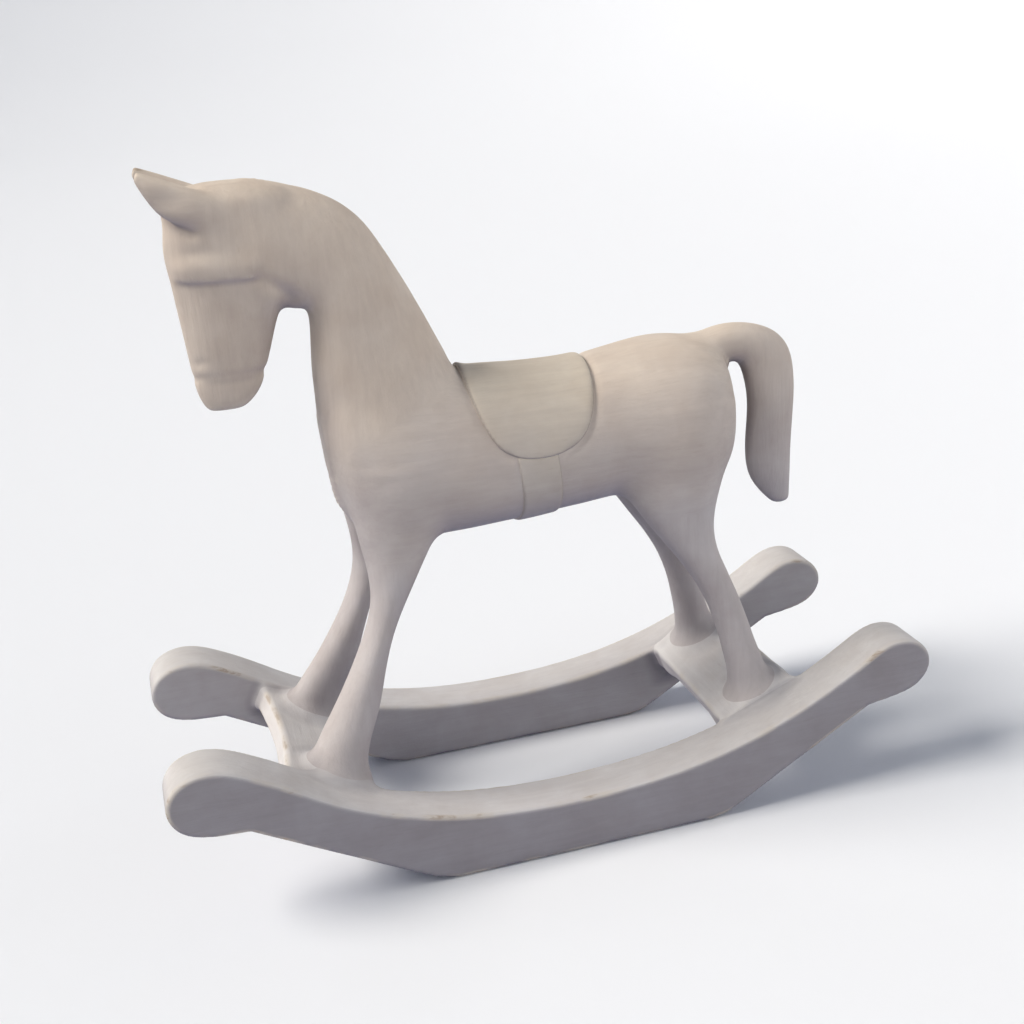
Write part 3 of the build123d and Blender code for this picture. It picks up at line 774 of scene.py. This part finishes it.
def all_pieces():
    """The whole, cut into the same pieces as the CAD model: for each CAD node, its mesh."""
    horse, ears, bars, rockers = carved_horse(), carved_ears(), sawn_bars(), sawn_rockers()
    whole = joined(horse, ears, bars, rockers)
    points, faces = whole.surface()
    mesh = new_mesh(points, faces.tolist())
    pieces = {}

    def base_or_horse(points):
        return np.minimum(bars.sample(points), rockers.sample(points)) - horse.sample(points)

    def ear_or_head(points):
        beside = (points[:, 0] - EAR_BASE[0]) * EAR_WAY[0] + (points[:, 2] - EAR_BASE[1]) * EAR_WAY[1]
        return np.maximum(ears.sample(points) - horse.sample(points), beside)

    base, mesh = divide(mesh, base_or_horse, flat=False)
    both, base = divide(base, lambda points: rockers.sample(points) - bars.sample(points), flat=False)
    pieces["left_rocker"], pieces["right_rocker"] = divide(both, LEFT_OR_RIGHT)
    pieces["front_crossbar"], pieces["rear_crossbar"] = divide(base, FRONT_OR_REAR)
    mesh, pieces["tail"] = divide(mesh, plane((TAIL_JOINT_X, 0, 0), (1, 0, 0)))
    legs, mesh = divide(mesh, plane((0, 0, LEG_JOINT_Z), (0, 0, 1)))
    for end, pair in zip(("front", "rear"), divide(legs, FRONT_OR_REAR)):
        pieces[f"left_{end}_leg"], pieces[f"right_{end}_leg"] = divide(pair, LEFT_OR_RIGHT)
    head, mesh = divide(mesh, plane((HEAD_JOINT_X, 0, 0), (1, 0, 0)))
    both, pieces["head"] = divide(head, ear_or_head, flat=False)
    pieces["left_ear"], pieces["right_ear"] = divide(both, LEFT_OR_RIGHT)
    (rear_x, rear_z), (front_x, front_z) = NECK_JOINT
    torso, pieces["neck"] = divide(mesh, plane((rear_x, 0, rear_z), (front_z - rear_z, 0, rear_x - front_x)))
    torso, pieces["torso_right"] = divide(torso, plane((0, LAMINATION_HALF, 0), (0, 1, 0)))
    pieces["torso_left"], pieces["torso_core"] = divide(torso, plane((0, -LAMINATION_HALF, 0), (0, 1, 0)))
    blocks = {name: whole for name in pieces}
    for name, block in (("saddle", saddle(horse)), ("girth", girth(horse)),
                        ("front_leg_dowels", turned_dowels(FRONT_LEG_DOWELS))):
        points, faces = block.surface()
        pieces[name], blocks[name] = new_mesh(points, faces.tolist()), block
    return pieces, blocks


EDGE_PROBE, HOLLOW_PROBES = 4 * MM, (6 * MM, 13 * MM, 28 * MM)


def finish_surface(mesh, block):
    """Gives a mesh the field's own smooth normals, so that a cut between two pieces doesn't show, and two measures
    for its material at each point: "edge", how sharply it bulges, and "hollow", how much wood stands in front of it,
    which the paint turns into painted shade in the hollows."""
    points = points_of(mesh)
    slope = block.slope(points)
    normals = slope / np.maximum(np.linalg.norm(slope, axis=1), 1e-6)[:, None]
    around = sum(block.sample(points + step) + block.sample(points - step) for step in np.eye(3) * EDGE_PROBE)
    edge = (around - 6 * block.sample(points)) / EDGE_PROBE
    hollow = sum((probe - block.sample(points + normals * probe)) / probe for probe in HOLLOW_PROBES)
    for name, values in (("edge", edge), ("hollow", hollow / len(HOLLOW_PROBES))):
        mesh.attributes.new(name, "FLOAT", "POINT").data.foreach_set("value", np.clip(values, -2, 2))
    mesh.polygons.foreach_set("use_smooth", [True] * len(mesh.polygons))
    mesh.normals_split_custom_set_from_vertices(normals.tolist())


def add_piece(node, mesh, block, material):
    """Shows a mesh in place of a CAD node."""
    mesh.name = f"carved_{node}"
    finish_surface(mesh, block)
    mesh.materials.append(material)
    piece = new_object(mesh.name, mesh)
    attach(piece, "root")
    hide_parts(node)


# ---------------------------------------------------------------- materials
class Graph:
    """The shader nodes of one material."""

    def __init__(self, name):
        self.material = bpy.data.materials.new(name)
        self.material.use_nodes = True
        self.tree = self.material.node_tree
        self.shader = self.tree.nodes["Principled BSDF"]

    def node(self, kind, inputs=(), **settings):
        """A new node. The inputs are given in order: a socket is linked, None is skipped, and a value is set."""
        made = self.tree.nodes.new(kind)
        for name, value in settings.items():
            setattr(made, name, value)
        for socket, value in zip(made.inputs, inputs):
            if isinstance(value, bpy.types.NodeSocket):
                self.tree.links.new(value, socket)
            elif value is not None:
                socket.default_value = value
        return made

    def place(self, stretch=(1, 1, 1)):
        """The point on the object, in metres, times a stretch along each axis."""
        coords = self.node("ShaderNodeTexCoord").outputs["Object"]
        return self.node("ShaderNodeVectorMath", (coords, stretch), operation="MULTIPLY").outputs[0]

    def noise(self, stretch, detail, roughness=0.5, warp=0.0):
        return self.node("ShaderNodeTexNoise", (self.place(stretch), None, 1.0, detail, roughness, None, None, None,
                                                warp)).outputs[0]

    def remap(self, value, low, high, to_low=0.0, to_high=1.0):
        return self.node("ShaderNodeMapRange", (value, low, high, to_low, to_high)).outputs[0]

    def math(self, operation, a, b):
        return self.node("ShaderNodeMath", (a, b), operation=operation, use_clamp=False).outputs[0]

    def mix(self, factor, a, b, blend="MIX"):
        made = self.tree.nodes.new("ShaderNodeMix")
        made.data_type, made.blend_type = "RGBA", blend
        for socket, value in zip((made.inputs[0], made.inputs[6], made.inputs[7]), (factor, a, b)):
            if isinstance(value, bpy.types.NodeSocket):
                self.tree.links.new(value, socket)
            else:
                socket.default_value = value if isinstance(value, float) else (*value, 1)
        return made.outputs[2]

    def attribute(self, name):
        return self.node("ShaderNodeAttribute", attribute_name=name).outputs["Fac"]

    def axis(self, vector, name):
        return self.node("ShaderNodeSeparateXYZ", (vector,)).outputs[name]

    def finish(self, colour, roughness, heights):
        """Feeds the shader. The heights are (socket, depth in metres) pairs, added up as bumps."""
        self.tree.links.new(colour, self.shader.inputs["Base Color"])
        self.tree.links.new(roughness, self.shader.inputs["Roughness"])
        total = 0.0
        for socket, depth in heights:
            total = self.math("ADD", self.math("MULTIPLY", socket, depth * 1000), total)
        bump = self.node("ShaderNodeBump")
        bump.inputs["Distance"].default_value = 0.001
        self.tree.links.new(total, bump.inputs["Height"])
        self.tree.links.new(bump.outputs[0], self.shader.inputs["Normal"])
        return self.material


ALONG_X, ALONG_Y, ALONG_Z = (14, 150, 150), (150, 14, 150), (150, 150, 14)  # the noise's stretch for each grain
# The third colour is painted shade: a bluish darkening multiplied into faces that point down.
BARE_WOOD, RUBBED, UNDERSIDE_SHADE = (0.30, 0.215, 0.15), (0.60, 0.54, 0.46), (0.60, 0.63, 0.80)
STROKE_TINT, MOTTLE_TINT, FIBRE_TINT = (0.87, 0.86, 0.87), (0.90, 0.875, 0.86), (0.82, 0.77, 0.71)


def limewash(name, grain, top, low, side, crevice_shade, heights, wear=1.0):
    """Thin matt white paint, brushed along the grain, with painted light and shade in its colour. It is warmer high up
    and cooler low down, as painted light from above, lighter where it faces up and darker where it turns sideways or
    down, as painted shade, and darker in the hollows, as painted shade. It is rubbed to a creamier tone, with a little
    wood, on the edges. Heights are the two levels, in metres, between which the shaded low tone turns into the lit top
    tone, and wear scales how rubbed the edges are."""
    g = Graph(name)
    strokes = g.noise(grain, 5, 0.62, 0.4)
    fibres = g.noise(tuple(3.2 * k for k in grain), 3, 0.6)
    mottle = g.noise((22, 22, 22), 4, 0.55, 0.3)
    broad = g.noise((6, 6, 6), 2, 0.5)
    speck = g.noise((420, 420, 420), 2, 0.5)
    # Painted light: the colour runs from the low tone to the top tone with height, standing in for warm light from
    # above and cool light low down.
    height = g.math("ADD", g.axis(g.place(), "Z"), g.remap(broad, 0.3, 0.7, -0.06, 0.06))
    colour = g.mix(g.remap(height, *heights), low, top)
    upward = g.axis(g.node("ShaderNodeNewGeometry").outputs["Normal"], "Z")
    # Painted shade: faces that turn sideways or down are multiplied by the side colour.
    colour = g.mix(g.remap(upward, 0.60, -0.30), colour, side, "MULTIPLY")
    # Painted shade: faces that point down are darkened further, towards blue.
    colour = g.mix(g.remap(upward, -0.30, -0.85), colour, UNDERSIDE_SHADE, "MULTIPLY")
    colour = g.mix(g.remap(strokes, 0.32, 0.70, 0.0, 0.6), colour, STROKE_TINT, "MULTIPLY")
    colour = g.mix(g.remap(mottle, 0.30, 0.72), colour, MOTTLE_TINT, "MULTIPLY")
    colour = g.mix(g.remap(fibres, 0.60, 0.78, 0.0, 0.3), colour, FIBRE_TINT, "MULTIPLY")
    # Painted shade: the paint darkens towards the crevice colour where much wood stands in front of the surface.
    colour = g.mix(g.remap(g.attribute("hollow"), 0.14, 0.75), colour, crevice_shade, "MULTIPLY")
    rubbed = g.math("MULTIPLY", g.remap(g.attribute("edge"), 0.25, 0.8), g.remap(mottle, 0.42, 0.62))
    colour = g.mix(g.math("MULTIPLY", rubbed, 0.5 * wear), colour, RUBBED)
    patches = g.remap(g.math("ADD", strokes, mottle), 1.12, 1.24)
    bared = g.math("MULTIPLY", g.remap(g.attribute("edge"), 0.45, 0.9), patches)
    colour = g.mix(g.math("MULTIPLY", bared, 0.6 * wear), colour, BARE_WOOD)
    roughness = g.remap(mottle, 0.3, 0.7, 0.62, 0.86)
    g.shader.inputs["Specular IOR Level"].default_value = 0.35
    return g.finish(colour, roughness, [(strokes, 0.00055), (fibres, 0.0003), (mottle, 0.0006), (speck, 0.00006)])


def bare_wood(name):
    """Turned beech, for the dowels."""
    g = Graph(name)
    rings = g.noise((260, 260, 30), 4, 0.6, 0.6)
    flecks = g.noise((900, 900, 90), 2, 0.5)
    colour = g.mix(g.remap(rings, 0.3, 0.7), (0.44, 0.27, 0.15), (0.66, 0.46, 0.29))
    colour = g.mix(g.remap(flecks, 0.58, 0.70, 0.0, 0.5), colour, (0.36, 0.20, 0.11))
    return g.finish(colour, g.remap(rings, 0.3, 0.7, 0.5, 0.7), [(rings, 0.0002), (flecks, 0.0001)])


def zinc(name):
    """Bright zinc plating, for the screws."""
    g = Graph(name)
    spangle = g.noise((500, 500, 500), 3, 0.5)
    turning = g.noise((60, 60, 1600), 2, 0.5)
    colour = g.mix(g.remap(spangle, 0.3, 0.7), (0.52, 0.53, 0.55), (0.70, 0.71, 0.72))
    g.shader.inputs["Metallic"].default_value = 1.0
    return g.finish(colour, g.remap(spangle, 0.3, 0.7, 0.28, 0.45), [(spangle, 0.00003), (turning, 0.00003)])


# ---------------------------------------------------------------- build
add_camera()
# The horse's paint as lit from above, warm, and as shaded low down, cool: painted light and shade.
LIT_WARM_TONE, SHADED_COOL_TONE, SIDE_SHADE = (0.72, 0.62, 0.52), (0.57, 0.53, 0.52), (0.60, 0.60, 0.645)
# The colour of the painted shade in hollows and crevices.
CREVICE_SHADE = (0.30, 0.29, 0.35)
# The heights over which each paint turns from its shaded low tone to its lit top tone, as painted light.
HORSE_HEIGHTS, SADDLE_HEIGHTS, BASE_HEIGHTS = (0.30, 0.52), (0.34, 0.46), (0.05, 0.30)
SADDLE_WEAR = 0.15
# In each paint, the colour after the two tones is painted shade, multiplied into faces that turn sideways or down.
PAINTS = {
    "long": limewash("horse_paint_long", ALONG_X, LIT_WARM_TONE, SHADED_COOL_TONE, SIDE_SHADE, CREVICE_SHADE, HORSE_HEIGHTS),
    "tall": limewash("horse_paint_tall", ALONG_Z, LIT_WARM_TONE, SHADED_COOL_TONE, SIDE_SHADE, CREVICE_SHADE, HORSE_HEIGHTS),
    "saddle": limewash("saddle_paint", ALONG_X, (0.68, 0.605, 0.505), (0.60, 0.55, 0.51), SIDE_SHADE, CREVICE_SHADE,
                       SADDLE_HEIGHTS, SADDLE_WEAR),
    # The rockers' side colour is a strong painted shade, darker and bluer, for their side faces.
    "rocker": limewash("rocker_paint", ALONG_X, (0.64, 0.62, 0.60), (0.62, 0.60, 0.60), (0.43, 0.42, 0.485),
                       CREVICE_SHADE, BASE_HEIGHTS),
    "cross": limewash("crossbar_paint", ALONG_Y, (0.73, 0.71, 0.69), (0.71, 0.69, 0.68), (0.74, 0.73, 0.78),
                      CREVICE_SHADE, BASE_HEIGHTS),
    "wood": bare_wood("dowel_wood"),
}
FINISHES = {  # for each node, its paint and the name of its slot
    "saddle": ("saddle", "saddle_paint"), "girth": ("saddle", "saddle_paint"),
    "left_rocker": ("rocker", "rocker_paint"), "right_rocker": ("rocker", "rocker_paint"),
    "front_crossbar": ("cross", "rocker_paint"), "rear_crossbar": ("cross", "rocker_paint"),
    "torso_core": ("long", "horse_paint"), "torso_left": ("long", "horse_paint"),
    "torso_right": ("long", "horse_paint"), "left_ear": ("long", "horse_paint"), "right_ear": ("long", "horse_paint"),
    "front_leg_dowels": ("wood", "dowel_wood"),
}
meshes, blocks = all_pieces()
for node, mesh in meshes.items():
    paint, slot = FINISHES.get(node, ("tall", "horse_paint"))
    add_piece(node, mesh, blocks[node], PAINTS[paint])
plating = zinc("screw_steel")
for node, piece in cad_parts.items():
    if node not in meshes:
        piece.data.materials.clear()
        piece.data.materials.append(plating if node.endswith("screws") else PAINTS["wood"])


def add_sun(name, direction, strength, colour, softness):
    """A broad soft light from a direction, which is given as the way to the light. Its softness is in degrees."""
    data = bpy.data.lights.new(name, "SUN")
    data.energy, data.color, data.angle = strength, colour, math.radians(softness)
    light = bpy.data.objects.new(name, data)
    bpy.context.scene.collection.objects.link(light)
    light.rotation_euler = Vector(direction).to_track_quat("Z", "Y").to_euler()


FLOOR_RINGS = [(3, 0), (6, 0), (8, 0.1), (10, 0.5), (12, 1.3), (14, 2.6), (16, 4.6), (18, 7.5), (20, 12)]
FLOOR_SIDES, FLOOR_COLOUR = 96, (0.86, 0.88, 0.92)


def add_floor():
    """A pale floor that curves up far away on all sides, made of rings of a radius and a height."""
    turns = np.linspace(0, 2 * math.pi, FLOOR_SIDES + 1)[:-1]
    points = [(radius * math.cos(a), radius * math.sin(a), height) for radius, height in FLOOR_RINGS for a in turns]
    faces = [tuple(range(FLOOR_SIDES))]
    for ring in range(len(FLOOR_RINGS) - 1):
        for i in range(FLOOR_SIDES):
            here, after = ring * FLOOR_SIDES + i, ring * FLOOR_SIDES + (i + 1) % FLOOR_SIDES
            faces.append((here, here + FLOOR_SIDES, after + FLOOR_SIDES, after))
    mesh = bpy.data.meshes.new("floor")
    mesh.from_pydata(points, [], faces)
    mesh.polygons.foreach_set("use_smooth", [True] * len(faces))
    paint = bpy.data.materials.new("floor")
    paint.use_nodes = True
    shader = paint.node_tree.nodes["Principled BSDF"]
    shader.inputs["Base Color"].default_value = (*FLOOR_COLOUR, 1)
    shader.inputs["Roughness"].default_value = 0.9
    shader.inputs["Specular IOR Level"].default_value = 0.1
    mesh.materials.append(paint)
    new_object("floor", mesh)


add_floor()
add_sun("key", (-0.74, 0.08, 0.66), 3.9, (1.0, 0.95, 0.87), 32)
add_sun("fill", (-0.62, 0.70, 0.36), 0.7, (0.94, 0.96, 1.0), 30)
world = bpy.data.worlds.new("world")
bpy.context.scene.world = world
world.use_nodes = True
sky = world.node_tree.nodes["Background"]
sky.inputs["Color"].default_value = (0.70, 0.80, 1.0, 1)
sky.inputs["Strength"].default_value = 0.18
bpy.context.scene.view_settings.view_transform = "Standard"
